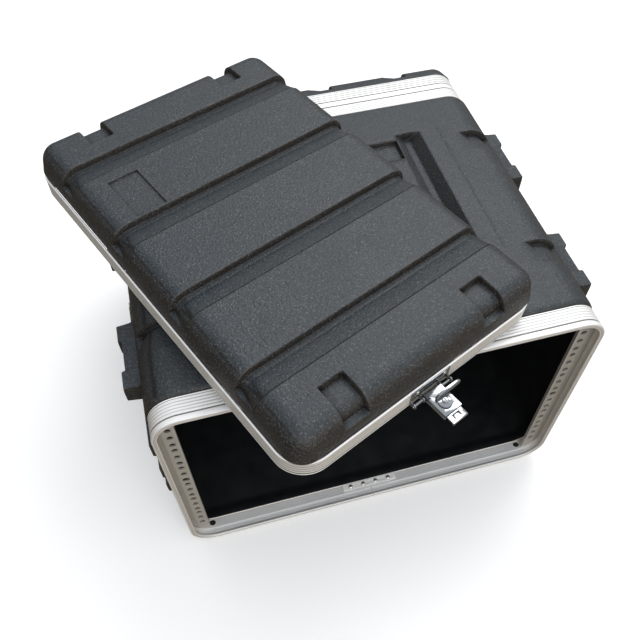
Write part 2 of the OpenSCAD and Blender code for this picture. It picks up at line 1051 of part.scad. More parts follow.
module front_latch_left_wing() {
    color(zinc) front_latch(-1) latch_wing();
}

module rear_latch_left_bracket() {
    color(zinc) at_rear_lid() at_lid_latch(1, 0) latch_bracket();
}

module rear_latch_left_pin() {
    color(zinc) rear_latch(1) latch_pin();
}

module rear_latch_left_plate() {
    color(zinc) rear_latch(1) latch_plate();
}

module rear_latch_left_hook() {
    color(zinc) rear_latch(1) latch_hook();
}

module rear_latch_left_wing() {
    color(zinc) rear_latch(1) latch_wing();
}

module rear_latch_right_bracket() {
    color(zinc) at_rear_lid() at_lid_latch(-1, 0) latch_bracket();
}

module rear_latch_right_pin() {
    color(zinc) rear_latch(-1) latch_pin();
}

module rear_latch_right_plate() {
    color(zinc) rear_latch(-1) latch_plate();
}

module rear_latch_right_hook() {
    color(zinc) rear_latch(-1) latch_hook();
}

module rear_latch_right_wing() {
    color(zinc) rear_latch(-1) latch_wing();
}

body_shell();
front_frame();
rear_frame();
front_frame_splice();
rear_frame_splice();
frame_splice_rivets();
front_rail_left();
front_rail_right();
rear_rail_left();
rear_rail_right();
rail_rivets();
front_keeper_left();
front_keeper_right();
rear_keeper_left();
rear_keeper_right();
keeper_rivets();
handle_plate_left();
handle_plate_right();
handle_bail_left();
handle_bail_right();
handle_grip_left();
handle_grip_right();
handle_rivets();
front_lid_shell();
front_lid_frame();
front_lid_splice();
front_lid_rivets();
rear_lid_shell();
rear_lid_frame();
rear_lid_splice();
rear_lid_rivets();
front_latch_left_bracket();
front_latch_left_pin();
front_latch_left_plate();
front_latch_left_hook();
front_latch_left_wing();
front_latch_right_bracket();
front_latch_right_pin();
front_latch_right_plate();
front_latch_right_hook();
front_latch_right_wing();
rear_latch_left_bracket();
rear_latch_left_pin();
rear_latch_left_plate();
rear_latch_left_hook();
rear_latch_left_wing();
rear_latch_right_bracket();
rear_latch_right_pin();
rear_latch_right_plate();
rear_latch_right_hook();
rear_latch_right_wing();
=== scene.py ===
import json
import math

import bmesh
import bpy
import numpy as np
from mathutils import Euler, Matrix, Vector


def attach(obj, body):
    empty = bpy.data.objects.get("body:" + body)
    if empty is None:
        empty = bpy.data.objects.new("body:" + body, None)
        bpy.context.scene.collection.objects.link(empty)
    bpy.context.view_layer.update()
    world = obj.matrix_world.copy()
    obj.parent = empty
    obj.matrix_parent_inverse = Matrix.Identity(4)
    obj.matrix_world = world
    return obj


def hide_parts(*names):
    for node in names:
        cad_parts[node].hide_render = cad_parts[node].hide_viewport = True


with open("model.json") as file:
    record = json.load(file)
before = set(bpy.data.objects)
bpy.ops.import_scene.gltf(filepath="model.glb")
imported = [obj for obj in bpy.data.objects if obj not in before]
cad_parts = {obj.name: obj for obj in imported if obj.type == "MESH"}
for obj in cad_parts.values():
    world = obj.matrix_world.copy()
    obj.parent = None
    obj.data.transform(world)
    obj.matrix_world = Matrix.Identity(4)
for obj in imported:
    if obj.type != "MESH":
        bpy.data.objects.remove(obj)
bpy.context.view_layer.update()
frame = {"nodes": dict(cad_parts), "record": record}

scene = bpy.context.scene
MM = 0.001

# ------------------------------------------------------------------ materials


class Tree:
    """A small helper that adds nodes to a material and links them by socket."""

    def __init__(self, name):
        self.mat = bpy.data.materials.new(name)
        self.mat.use_nodes = True
        self.t = self.mat.node_tree
        self.t.nodes.clear()
        self.out = self.t.nodes.new("ShaderNodeOutputMaterial")
        self.bsdf = self.t.nodes.new("ShaderNodeBsdfPrincipled")
        self.t.links.new(self.bsdf.outputs[0], self.out.inputs[0])

    def put(self, socket, value):
        if isinstance(value, bpy.types.NodeSocket):
            self.t.links.new(value, socket)
        else:
            socket.default_value = value

    def node(self, kind, out=0, props=None, **inputs):
        n = self.t.nodes.new("ShaderNode" + kind)
        for k, v in (props or {}).items():
            setattr(n, k, v)
        for k, v in inputs.items():
            key = k.replace("_", " ")
            self.put(n.inputs[int(k[1:]) if k[1:].isdigit() and k[0] == "i" else key], v)
        return n.outputs[out]

    def coords(self, which="Object"):
        return self.node("TexCoord", which)

    def scaled(self, vec, xyz):
        return self.node("Mapping", 0, None, Vector=vec, Scale=xyz)

    def noise(self, vec, scale, detail=3.0, rough=0.55):
        return self.node("TexNoise", "Fac", None, Vector=vec, Scale=scale, Detail=detail, Roughness=rough)

    def ramp(self, fac, lo, hi, a=0.0, b=1.0):
        return self.node("MapRange", 0, {"clamp": True}, i0=fac, i1=lo, i2=hi, i3=a, i4=b)

    def math(self, op, a, b=0.0):
        return self.node("Math", 0, {"operation": op, "use_clamp": False}, i0=a, i1=b)

    def mix(self, fac, a, b):
        n = self.t.nodes.new("ShaderNodeMix")
        n.data_type = "RGBA"
        self.put(n.inputs[0], fac)
        self.put(n.inputs[6], a if isinstance(a, bpy.types.NodeSocket) else (*a, 1.0))
        self.put(n.inputs[7], b if isinstance(b, bpy.types.NodeSocket) else (*b, 1.0))
        return n.outputs[2]

    def bump(self, height, distance, strength=1.0, normal=None):
        n = self.t.nodes.new("ShaderNodeBump")
        self.put(n.inputs["Height"], height)
        n.inputs["Distance"].default_value = distance
        n.inputs["Strength"].default_value = strength
        if normal is not None:
            self.put(n.inputs["Normal"], normal)
        return n.outputs[0]

    def finish(self, **inputs):
        for k, v in inputs.items():
            self.put(self.bsdf.inputs[k.replace("_", " ")], v)
        return self.mat


def moulded_plastic(name, dark=False):
    """Black pebbled plastic, with painted light: a cool tint where it faces up and a warm shade tint on its
    sides; painted shade makes it dull and black in its folds and on slopes leaning to -X.
    """
    t = Tree(name)
    co = t.coords()
    point = t.node("NewGeometry", "Pointiness")
    normal = t.node("NewGeometry", "Normal")
    up = t.node("SeparateXYZ", 2, None, Vector=normal)
    broad = t.noise(co, 9.0, 3.0)
    patch = t.noise(co, 42.0, 4.0)
    grain = t.noise(co, 520.0, 2.5, 0.6)
    pebble = t.node("TexVoronoi", "Distance", {"feature": "SMOOTH_F1"}, Vector=co, Scale=430.0)
    if dark:
        base = t.mix(t.ramp(broad, 0.35, 0.65), (0.004, 0.005, 0.006), (0.007, 0.008, 0.009))
        rough = t.ramp(patch, 0.3, 0.7, 0.42, 0.6)
        bump = t.bump(grain, 0.0002, 0.35)
        return t.finish(Base_Color=base, Roughness=rough, Normal=bump)
    # Painted light: faces turned up get a cool lit tint, and faces turned sideways a warmer shade tint.
    cool_top_light = t.mix(t.ramp(broad, 0.3, 0.7), (0.017, 0.025, 0.032), (0.025, 0.032, 0.038))
    warm_side_shade = t.mix(t.ramp(patch, 0.3, 0.7), (0.019, 0.016, 0.0125), (0.027, 0.022, 0.017))
    base = t.mix(t.ramp(up, 0.55, 0.97, 1.0, 0.0), cool_top_light, warm_side_shade)
    specks = t.ramp(t.noise(co, 640.0, 2.0, 0.5), 0.56, 0.72)
    base = t.mix(t.math("MULTIPLY", specks, 0.75), base, (0.135, 0.145, 0.155))
    pits = t.ramp(t.noise(co, 330.0, 2.0, 0.5), 0.46, 0.30)
    base = t.mix(t.math("MULTIPLY", pits, 0.6), base, (0.008, 0.009, 0.010))
    worn = t.math("MULTIPLY", t.ramp(point, 0.515, 0.56), t.ramp(patch, 0.42, 0.62))
    base = t.mix(t.math("MULTIPLY", worn, 0.35), base, (0.110, 0.098, 0.080))
    # Painted shade: the base goes near black in folds found by local AO and on upward slopes leaning to -X,
    # away from the key light.
    open_air = t.node("AmbientOcclusion", "AO", {"samples": 6, "only_local": True}, Distance=0.010)
    painted_shade = t.ramp(open_air, 0.88, 0.54)
    painted_slope_shade = t.ramp(t.node("SeparateXYZ", 0, None, Vector=normal), -0.46, -0.55)
    painted_shade = t.math("MAXIMUM", painted_shade, t.math("MULTIPLY", painted_slope_shade, t.ramp(up, 0.74, 0.81, 0.0, 0.6)))
    base = t.mix(t.math("MULTIPLY", painted_shade, 0.9), base, (0.003, 0.003, 0.003))
    rough = t.ramp(broad, 0.3, 0.7, 0.46, 0.56)
    height = t.math("ADD", t.math("MULTIPLY", pebble, 0.9), t.math("MULTIPLY", grain, 0.8))
    bump = t.bump(height, 0.0007, 0.75, t.bump(patch, 0.0012, 0.25))
    # The specular level drops where the painted shade lies.
    shine = t.ramp(painted_shade, 0.0, 1.0, 0.5, 0.14)
    return t.finish(Base_Color=base, Roughness=rough, Normal=bump, Specular_IOR_Level=shine)


def extruded_metal(name, tint, rough_lo, rough_hi, metal, dirt_and_shade, side=None):
    """Satin metal with drawing lines along it, a painted shade tint on faces turned sideways, dirt and
    painted shade in tight crevices, and dirt and painted shade where its second UV map says.
    """
    t = Tree(name)
    uv = t.coords("UV")
    co = t.coords()
    drawn = t.noise(t.scaled(uv, (9.0, 5200.0, 1.0)), 1.0, 4.0, 0.65)
    smudge = t.noise(co, 24.0, 5.0, 0.6)
    fine = t.noise(co, 240.0, 3.0)
    base = t.mix(t.ramp(smudge, 0.35, 0.7), tint, tuple(c * 0.92 for c in tint))
    # Painted shade: faces turned sideways take the given beige tint in place of the lit top colour.
    if side:
        up = t.node("SeparateXYZ", 2, None, Vector=t.node("NewGeometry", "Normal"))
        base = t.mix(t.ramp(up, 0.25, 0.85), side, base)
    base = t.mix(t.math("MULTIPLY", t.ramp(drawn, 0.45, 0.75), 0.18), base, tuple(c * 0.7 for c in tint))
    # Dirt and painted shade: tight crevices found by local AO darken to brown.
    open_air = t.node("AmbientOcclusion", "AO", {"samples": 6, "only_local": True}, Distance=0.0022)
    base = t.mix(t.ramp(open_air, 0.86, 0.5, 0.0, dirt_and_shade), base, (0.16, 0.135, 0.105))
    # Dirt and painted shade in the frame's grooves, read from a second UV map; the marked places also turn
    # less metallic.
    grime_and_shade = t.node("SeparateXYZ", 0, None, Vector=t.node("UVMap", 0, {"uv_map": "Grime"}))
    soiled_and_shaded = t.math("MULTIPLY", grime_and_shade, t.ramp(smudge, 0.25, 0.75, 0.80, 0.97))
    base = t.mix(soiled_and_shaded, base, (0.075, 0.066, 0.054))
    metal = t.ramp(grime_and_shade, 0.0, 0.9, metal, 0.0)
    rough = t.math("ADD", t.ramp(smudge, 0.3, 0.7, rough_lo, rough_hi), t.ramp(fine, 0.3, 0.7, -0.03, 0.03))
    bump = t.bump(drawn, 0.00005, 0.3, t.bump(fine, 0.00006, 0.15))
    return t.finish(Base_Color=base, Metallic=metal, Roughness=rough, Normal=bump)


def sheet_metal(name, tint, rough_lo, rough_hi):
    """Bright plated metal, with painted shade darkening its holes and crevices."""
    t = Tree(name)
    co = t.coords()
    smudge = t.noise(co, 60.0, 5.0, 0.6)
    fine = t.noise(co, 420.0, 3.0)
    base = t.mix(t.ramp(smudge, 0.35, 0.7), tint, tuple(c * 0.80 for c in tint))
    # Painted shade: holes and crevices found by AO darken to a fifth of the tint.
    open_air = t.node("AmbientOcclusion", "AO", {"samples": 6}, Distance=0.004)
    base = t.mix(t.ramp(open_air, 0.7, 0.25, 0.0, 0.8), base, tuple(c * 0.2 for c in tint))
    rough = t.math("ADD", t.ramp(smudge, 0.3, 0.7, rough_lo, rough_hi), t.ramp(fine, 0.3, 0.7, -0.03, 0.04))
    return t.finish(Base_Color=base, Metallic=1.0, Roughness=rough, Normal=t.bump(fine, 0.00008, 0.3))


def soft_grip(name):
    """Matt black rubber."""
    t = Tree(name)
    co = t.coords()
    fine = t.noise(co, 900.0, 3.0)
    broad = t.noise(co, 40.0, 3.0)
    base = t.mix(broad, (0.012, 0.012, 0.013), (0.022, 0.022, 0.023))
    rough = t.ramp(broad, 0.3, 0.7, 0.42, 0.55)
    return t.finish(Base_Color=base, Roughness=rough, Normal=t.bump(fine, 0.0001, 0.3))


ABS = moulded_plastic("moulded_plastic")
ABS_IN = moulded_plastic("moulded_plastic_inside", dark=True)
# The last colour of the frame metal is a painted shade tint for its faces turned sideways.
ALU = extruded_metal("frame_metal", (0.95, 0.955, 0.95), 0.36, 0.46, 0.16, 0.8, (0.74, 0.70, 0.64))
RAIL = extruded_metal("rail_metal", (0.64, 0.61, 0.55), 0.38, 0.5, 0.55, 0.5)
ZINC = sheet_metal("plated_steel", (0.31, 0.325, 0.34), 0.08, 0.18)
RIVET = sheet_metal("rivet_metal", (0.70, 0.69, 0.66), 0.28, 0.40)
GRIP = soft_grip("grip_rubber")

# ------------------------------------------------------------------ mesh tools


def sstep(x, a, b):
    """A smooth step from 0 at a to 1 at b."""
    t = np.clip((x - a) / (b - a), 0.0, 1.0)
    return t * t * (3 - 2 * t)


def band(x, a, b, e):
    """1 between a and b, falling to 0 over e outside them."""
    return sstep(x, a - e, a) * (1 - sstep(x, b, b + e))


def spaced(lo, hi, step, marks=(), reach=2.4):
    """Grid lines from lo to hi, evenly spaced, with a close cluster round every mark."""
    vals = list(np.linspace(lo, hi, max(2, int(round((hi - lo) / step)) + 1)))
    fixed = [lo, hi]
    for m in marks:
        for part in (-1.0, -0.58, -0.3, -0.1, 0.1, 0.3, 0.58, 1.0):
            d = reach * part
            if lo + 0.15 < m + d < hi - 0.15:
                fixed.append(m + d)
    fixed = sorted(fixed)
    keep = []
    for f in fixed:
        if not keep or f - keep[-1] > 0.16:
            keep.append(f)
    if hi - keep[-1] > 1e-6:
        keep.append(hi)
    keep[-1] = hi
    arr = np.array(keep)
    for v in vals:
        if np.abs(arr - v).min() > 1.2:
            arr = np.append(arr, v)
    return np.sort(arr)


def add_mesh(name, verts, faces, mats, body, place=None, uv=None, mat_index=None, sharp=40.0):
    me = bpy.data.meshes.new(name)
    v = np.asarray(verts, float) * MM
    if place is not None:
        m = np.array(place)
        v = v @ m[:3, :3].T + m[:3, 3]
    me.from_pydata(v.tolist(), [], [tuple(int(i) for i in f) for f in faces])
    me.polygons.foreach_set("use_smooth", [True] * len(me.polygons))
    if uv is not None:
        layer = me.uv_layers.new(name="UVMap")
        loops = np.zeros(len(me.loops), np.int32)
        me.loops.foreach_get("vertex_index", loops)
        layer.data.foreach_set("uv", uv[loops].ravel().astype(np.float32))
    for m in mats:
        me.materials.append(m)
    if mat_index is not None:
        me.polygons.foreach_set("material_index", np.asarray(mat_index, np.int32))
    me.update()
    me.set_sharp_from_angle(angle=math.radians(sharp))
    ob = bpy.data.objects.new(name, me)
    scene.collection.objects.link(ob)
    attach(ob, body)
    return ob


def placed(t, angles):
    """A matrix from a place in mm and angles in degrees."""
    turn = Euler([math.radians(a) for a in angles], "XYZ").to_matrix().to_4x4()
    return Matrix.Translation(Vector(t) * MM) @ turn


FRONT_LID = placed((-78.0, 179.0, 177.9), (-1.45, 1.65, -65.7))
FRONT_RIM, REAR_RIM, RIM_GAP = -12.0, 425.0, 0.3
REAR_LID = placed((0.0, REAR_RIM + RIM_GAP, 0.0), (90.0, 0.0, 180.0))
FRONT_FRAME = placed((0.0, FRONT_RIM, 0.0), (-90.0, 0.0, 0.0))
REAR_FRAME = placed((0.0, REAR_RIM, 0.0), (90.0, 0.0, 0.0))


def ring_path(hw, hh, r, xs, ys, corner=14):
    """Points and outward normals round a rounded rectangle, from the middle of its lower side."""
    pts, nrm = [], []
    xs, ys = np.asarray(xs), np.asarray(ys)
    inx = xs[(xs > -(hw - r) + 0.2) & (xs < hw - r - 0.2)]
    iny = ys[(ys > -(hh - r) + 0.2) & (ys < hh - r - 0.2)]

    def arc(cx, cy, a0):
        for i in range(corner + 1):
            a = math.radians(a0 + 90.0 * i / corner)
            pts.append((cx + r * math.cos(a), cy + r * math.sin(a)))
            nrm.append((math.cos(a), math.sin(a)))

    def run(points, n):
        for p in points:
            pts.append(p)
            nrm.append(n)

    run([(x, -hh) for x in inx[inx > 0]], (0, -1))
    arc(hw - r, -(hh - r), -90)
    run([(hw, y) for y in iny], (1, 0))
    arc(hw - r, hh - r, 0)
    run([(x, hh) for x in inx[::-1]], (0, 1))
    arc(-(hw - r), hh - r, 90)
    run([(-hw, y) for y in iny[::-1]], (-1, 0))
    arc(-(hw - r), -(hh - r), 180)
    run([(x, -hh) for x in inx[inx < 0]], (0, -1))
    return np.array(pts, float), np.array(nrm, float)


def sweep_ring(path, normals, profile, closed=True):
    """A closed profile of (depth, offset) carried round a path in the XY plane; +Z is depth."""
    m, q = len(path), len(profile)
    prof = np.array(profile, float)
    xy = path[:, None, :] + normals[:, None, :] * prof[None, :, 1, None]
    z = np.broadcast_to(prof[None, :, 0, None], (m, q, 1))
    verts = np.concatenate([xy, z], 2).reshape(-1, 3)
    seg = np.linalg.norm(np.diff(path, axis=0), axis=1)
    s = np.concatenate([[0], np.cumsum(seg)])
    l = np.concatenate([[0], np.cumsum(np.linalg.norm(np.diff(prof, axis=0), axis=1))])
    uv = np.stack(np.broadcast_arrays(s[:, None], l[None, :]), 2).reshape(-1, 2) * MM
    faces = []
    for i in range(m if closed else m - 1):
        i2 = (i + 1) % m
        for j in range(q):
            j2 = (j + 1) % q
            faces.append((i * q + j, i2 * q + j, i2 * q + j2, i * q + j2))
    if not closed:
        faces.append(tuple(range(q)))
        faces.append(tuple((m - 1) * q + j for j in reversed(range(q))))
    return verts, faces, uv


def cut(ob, cutters):
    """Subtracts the cutter meshes, each (verts in mm, faces), from a piece."""
    for verts, faces, place in cutters:
        me = bpy.data.meshes.new("cutter")
        v = np.asarray(verts, float) * MM
        m = np.array(place)
        v = v @ m[:3, :3].T + m[:3, 3]
        me.from_pydata(v.tolist(), [], faces)
        tool = bpy.data.objects.new("cutter", me)
        scene.collection.objects.link(tool)
        mod = ob.modifiers.new("cut", "BOOLEAN")
        mod.operation = "DIFFERENCE"
        mod.object = tool
        mod.solver = "EXACT"
        dg = bpy.context.evaluated_depsgraph_get()
        new = bpy.data.meshes.new_from_object(ob.evaluated_get(dg))
        old = ob.data
        ob.modifiers.clear()
        ob.data = new
        new.name = old.name + "_c"
        bpy.data.meshes.remove(old)
        bpy.data.objects.remove(tool)
        bpy.data.meshes.remove(me)


def prism(points, z0, z1):
    """A closed prism over an outline, from z0 to z1."""
    n = len(points)
    verts = [(x, y, z0) for x, y in points] + [(x, y, z1) for x, y in points]
    faces = [tuple(reversed(range(n))), tuple(range(n, 2 * n))]
    faces += [(i, (i + 1) % n, n + (i + 1) % n, n + i) for i in range(n)]
    return verts, faces


def circle(r, n=32, cx=0.0, cy=0.0):
    angles = [2 * math.pi * i / n for i in range(n)]
    return [(cx + r * math.cos(a), cy + r * math.sin(a)) for a in angles]


def refined(node, mat, body, width=0.35, segments=2, sharp=32.0):
    """A clean copy of a CAD node with its edges eased, which stands for that node."""
    src = frame["nodes"][node].data
    bm = bmesh.new()
    bm.from_mesh(src)
    bmesh.ops.remove_doubles(bm, verts=bm.verts, dist=2e-6)
    bmesh.ops.dissolve_limit(bm, angle_limit=math.radians(0.4), verts=bm.verts, edges=bm.edges)
    if width > 0:
        edges = [e for e in bm.edges if len(e.link_faces) == 2 and e.calc_face_angle(0) > math.radians(sharp)]
        bmesh.ops.bevel(bm, geom=edges, offset=width * MM, segments=segments, profile=0.5,
                        affect="EDGES", clamp_overlap=True)
    bm.normal_update()
    me = bpy.data.meshes.new(node + "_eased")
    bm.to_mesh(me)
    bm.free()
    me.materials.clear()
    me.materials.append(mat)
    me.polygons.foreach_set("use_smooth", [True] * len(me.polygons))
    me.set_sharp_from_angle(angle=math.radians(28))
    ob = bpy.data.objects.new(node + "_eased", me)
    scene.collection.objects.link(ob)
    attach(ob, body)
    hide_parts(node)
    return ob


# ------------------------------------------------------------------ body shell

# Half width, half height and corner radius of the plain tube, in mm
BODY_HW, BODY_HH, BODY_R = 252.0, 165.5, 39.0
# Where the side lugs and the latch guards run along Y, and how far they stand out
LUGS = [(55.0, 141.0), (243.0, 335.0)]
LUG_OUT, LUG_NOTCH = 18.0, 4.0
GUARDS = [(32.0, 151.0), (262.0, 381.0)]
GUARD_OUT = 12.0
# How deep the folds in the top are
DISH_D, POCKET_D, CREASE_D, EDGE_D = 11.0, 7.0, 0.9, 7.5


def body_relief(x, y, z, nx, nz, lining=False):
    """How far the skin stands out of the plain tube, in mm. The lining has only the folds, a bit longer."""
    wide = 4.0 if lining else 0.0
    ax, az = np.abs(x), np.abs(z)
    side = sstep(np.abs(nx), 0.80, 0.97)
    top = sstep(nz, 0.80, 0.97)
    out = np.zeros_like(x)
    for y0, y1 in LUGS:
        mid = y0 + (y1 - y0) * 0.29, y0 + (y1 - y0) * 0.73
        lug = band(y, y0 + 1.5, y1 - 1.5, 2.6) * band(az, 111.5, 133.2, 2.6)
        notch = band(y, mid[0], mid[1], 2.0)
        out = np.maximum(out, lug * (LUG_OUT - LUG_NOTCH * notch) * side)
    for y0, y1 in GUARDS:
        guard = band(y, y0 + 2, y1 - 2, 4.0) * band(az, 18.0, 43.0, 3.2)
        out = np.maximum(out, guard * GUARD_OUT * side)
    across = [117.5, 119.5, 132.0, 134.5, 138.0, 140.0, 154.0, 155.6]
    dish = np.interp(ax, across, [0, 0.06, 0.95, 1, 1, 0.95, 0.04, 0])
    dish = dish * band(y, 113.5 - wide, 331.5 + wide, 2.2)
    pocket = band(ax, 66.0, 116.5, 3.4) * band(y, 290.0 - wide, 321.5 + wide, 3.0)
    crease = sstep(ax, 177.4, 178.2) * (1 - sstep(ax, 178.2, 182.0)) * band(y, 113.0, 336.0, 1.5)
    cutin = np.maximum(dish * DISH_D, pocket * POCKET_D)
    cutin = np.maximum(cutin, crease * CREASE_D) * top
    edge = np.zeros_like(x)
    for ye in (112.0, 315.0):
        ramp = np.clip((y - (ye - 35.0)) / 35.0, 0.0, 1.0) * (1 - sstep(y, ye - 0.5 + wide, ye + 1.8 + wide))
        ramp = ramp * EDGE_D * sstep(ax, 207.5, 210.5)
        edge = np.maximum(edge, ramp * sstep(z, 141.0, 145.0) * (nz > -0.1))
    return (0.0 if lining else out) - np.maximum(cutin, edge)


def make_body_shell():
    """The moulded tube as one swept skin and lining, with its relief pushed in and out."""
    xm = [62, 118, 133, 139, 155, 178]
    xs = spaced(-213, 213, 9.0, [s * v for v in xm for s in (-1, 1)], 1.9)
    zm = [16.5, 44.5, 110]
    zs = spaced(-126.5, 126.5, 8.0, [s * v for v in zm for s in (-1, 1)], 2.4)
    path, nrm = ring_path(BODY_HW, BODY_HH, BODY_R, xs, zs, 22)
    ym = [34, 55.5, 80, 112.5, 118, 140.5, 149, 243.5, 264, 270, 289, 310, 314.5, 322.5, 332.5, 334.5, 379]
    ys = spaced(24.0, 389.0, 8.5, ym, 2.2)
    prof = []
    for a in np.radians(np.linspace(90, 0, 7)[:-1]):
        prof.append((24.0 - 7.6 * math.sin(a), -5.0 * (1 - math.cos(a))))
    for y in ys:
        prof.append((y, 0.0))
    for a in np.radians(np.linspace(0, 90, 7)[1:]):
        prof.append((389.0 + 7.6 * math.sin(a), -5.0 * (1 - math.cos(a))))
    n_out = len(prof)
    prof += [(396.9, -6.5), (399.8, -6.6), (400.0, -7.2), (399.6, -8.0)]
    prof += [(393.0, -8.2), (388.0, -4.4), (380.0, -4.0)]
    fold_ys = [360, 338, 335.4, 328.8, 325.4, 320.8, 318.4, 315, 300, 286, 282.8, 280, 250, 200, 150]
    fold_ys += [117.8, 115.4, 112, 109.5, 107.2, 77, 60]
    prof += [(y, -4.0) for y in fold_ys]
    prof += [(33.0, -4.0), (25.0, -4.4), (20.0, -8.2), (13.4, -8.0), (13.0, -7.2), (13.2, -6.6), (16.1, -6.5)]
    verts, faces, uv = sweep_ring(path, nrm, prof)
    m, q = len(path), len(prof)
    V = verts.reshape(m, q, 3)
    X, Z, Y = V[:, :n_out, 0], V[:, :n_out, 1], V[:, :n_out, 2]
    nx = np.broadcast_to(nrm[:, None, 0], X.shape)
    nz = np.broadcast_to(nrm[:, None, 1], X.shape)
    d = body_relief(X, Y, Z, nx, nz)
    V[:, :n_out, 0] += nx * d
    V[:, :n_out, 1] += nz * d
    a, b = n_out + 7, n_out + 7 + len(fold_ys)
    X, Z, Y = V[:, a:b, 0], V[:, a:b, 1], V[:, a:b, 2]
    nx, nz = nx[:, :1] + 0 * X, nz[:, :1] + 0 * X
    d = body_relief(X, Y, Z, nx, nz, True)
    V[:, a:b, 0] += nx * d
    V[:, a:b, 1] += nz * d
    P = np.stack([V[..., 0], V[..., 2], V[..., 1]], 2).reshape(-1, 3)
    mi = [0 if (k % q) < n_out + 2 or (k % q) >= q - 3 else 1 for k in range(len(faces))]
    ob = add_mesh("body_moulding", P, faces, [ABS, ABS_IN], "case", None, uv, mi, 50.0)
    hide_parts("body_shell")
    return ob


# ------------------------------------------------------------------ edge frames

# Half width, half height, corner radius and hole radius of a ring, then depth and bead of each kind, in mm
FRAME_HW, FRAME_HH, FRAME_R, FRAME_HOLE_R = 249.5, 162.5, 34.0, 4.3
BODY_FRAME_D, BODY_BEAD = 28.0, 6.8
LID_FRAME_D, LID_BEAD = 23.5, 2.4


def frame_profile(depth, bead, inner_bead):
    """Points of (depth, offset, dirt and painted shade) round the extruded section."""
    p = [(0.5, -6.0, 0), (0.0, -5.5, 0), (0.0, -4.3, 0), (0.3, -4.05, 0.8), (0.0, -3.8, 0)]
    p += [(0.0, -2.9, 0), (0.3, -2.65, 0.8), (0.0, -2.4, 0)]
    p += [(0.0, -1.4, 0), (0.12, -0.75, 0), (0.5, -0.25, 0), (1.2, 0.0, 0)]
    if bead > 3:
        p += [(bead - 0.9, 0.0, 0), (bead - 0.35, -0.15, 0), (bead - 0.05, -0.5, 0.3)]
    else:
        p += [(bead - 0.5, 0.0, 0), (bead - 0.1, -0.35, 0.3)]
    gap = 0.65 if bead > 3 else 1.0
    p += [(bead, -1.35, gap), (bead + 1.3, -1.35, gap)]
    first = bead + 1.4
    # Valleys between the ridges get this much dirt and painted shade; the lid rings get more.
    count, dirt_and_shade = (5, 0.38) if bead > 3 else (4, 1.0)
    step = (depth - 1.8 - first) / count
    for k in range(count):
        a = first + k * step
        p += [(a + 0.02, -0.6, dirt_and_shade), (a + 0.22 * step, -0.12, 0.1), (a + 0.36 * step, 0.0, 0)]
        p += [(a + 0.62 * step, 0.0, 0), (a + 0.80 * step, -0.12, 0.1), (a + 0.97 * step, -0.6, dirt_and_shade)]
    p += [(depth - 1.75, -0.3, 0.3), (depth - 1.5, -0.02, 0), (depth - 1.0, 0.15, 0), (depth - 0.35, 0.0, 0),
          (depth, -0.45, 0), (depth, -1.5, 0), (depth, -1.7, 1), (depth, -2.2, 1)]
    if inner_bead:
        p += [(depth - 0.1, -4.0, 0.5), (depth - 0.6, -4.7, 0), (depth - 1.8, -5.0, 0)]
        p += [(depth - 2.8, -4.6, 0), (depth - 3.3, -3.4, 0), (depth - 3.9, -2.2, 0.4)]
    for a in (12.9, 7.1):
        p += [(a + 0.3, -2.2, 0), (a, -2.35, 0.5), (a - 0.3, -2.2, 0)]
    p += [(3.2, -2.2, 0.6), (2.4, -2.8, 0), (2.2, -3.4, 0), (2.2, -5.6, 0), (1.8, -6.0, 0)]
    return p


def make_frame(name, node, body, place, depth, bead, inner_bead, seam_flip, holes):
    """One extruded ring, open at its seam, with its dirt and painted groove shade kept in a second UV map."""
    xs = np.concatenate([np.linspace(-213, -8, 12), [-0.2, 0.2], np.linspace(8, 213, 12)])
    ys = np.linspace(-125, 125, 9)
    path, nrm = ring_path(FRAME_HW, FRAME_HH, FRAME_R, xs, ys, 16)
    if seam_flip:
        path, nrm = path * [-1, -1], nrm * [-1, -1]
    section = frame_profile(depth, bead, inner_bead)
    verts, faces, uv = sweep_ring(path, nrm, [p[:2] for p in section], closed=False)
    ob = add_mesh(name, verts, faces, [ALU], body, place, uv, None, 38.0)
    dirt_and_shade = np.tile(np.array([(p[2], 0.0) for p in section]), (len(path), 1))
    loops = np.zeros(len(ob.data.loops), np.int32)
    ob.data.loops.foreach_get("vertex_index", loops)
    ob.data.uv_layers.new(name="Grime").data.foreach_set("uv", dirt_and_shade[loops].ravel().astype(np.float32))
    ob.data.uv_layers[0].active = True
    if holes:
        cut(ob, [(*prism(circle(FRAME_HOLE_R, 32), -12, 12), place @ h) for h in holes])
        ob.data.polygons.foreach_set("use_smooth", [True] * len(ob.data.polygons))
        ob.data.set_sharp_from_angle(angle=math.radians(38))
    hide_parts(node)
    return ob


def make_frames():
    def holes(side):
        """Two holes near the corners of the edge that lies on the floor."""
        return [placed((x, side * 157.0, 19.8), (90.0, 0.0, 0.0)) for x in (-222.0, 222.0)]

    body = (BODY_FRAME_D, BODY_BEAD, True)
    lid = (LID_FRAME_D, LID_BEAD, False)
    make_frame("front_edge_frame", "front_frame", "case", FRONT_FRAME, *body, True, holes(1))
    make_frame("rear_edge_frame", "rear_frame", "case", REAR_FRAME, *body, False, holes(-1))
    make_frame("front_lid_edge_frame", "front_lid_frame", "front_lid", FRONT_LID, *lid, True, [])
    make_frame("rear_lid_edge_frame", "rear_lid_frame", "rear_lid", REAR_LID, *lid, False, [])


# ------------------------------------------------------------------ lids

# Half width, half height, depth and edge radius of a lid, in mm
LW, LH, LTOP, LR = 244.5, 157.5, 58.0, 21.0
# Where each groove across a lid has its steep wall, and how deep it and the recesses are
GROOVES = [-180.8, -70.2, 40.2, 150.8]
GROOVE_D, LID_POCKET_D, BADGE_D = 8.0, 7.0, 2.0


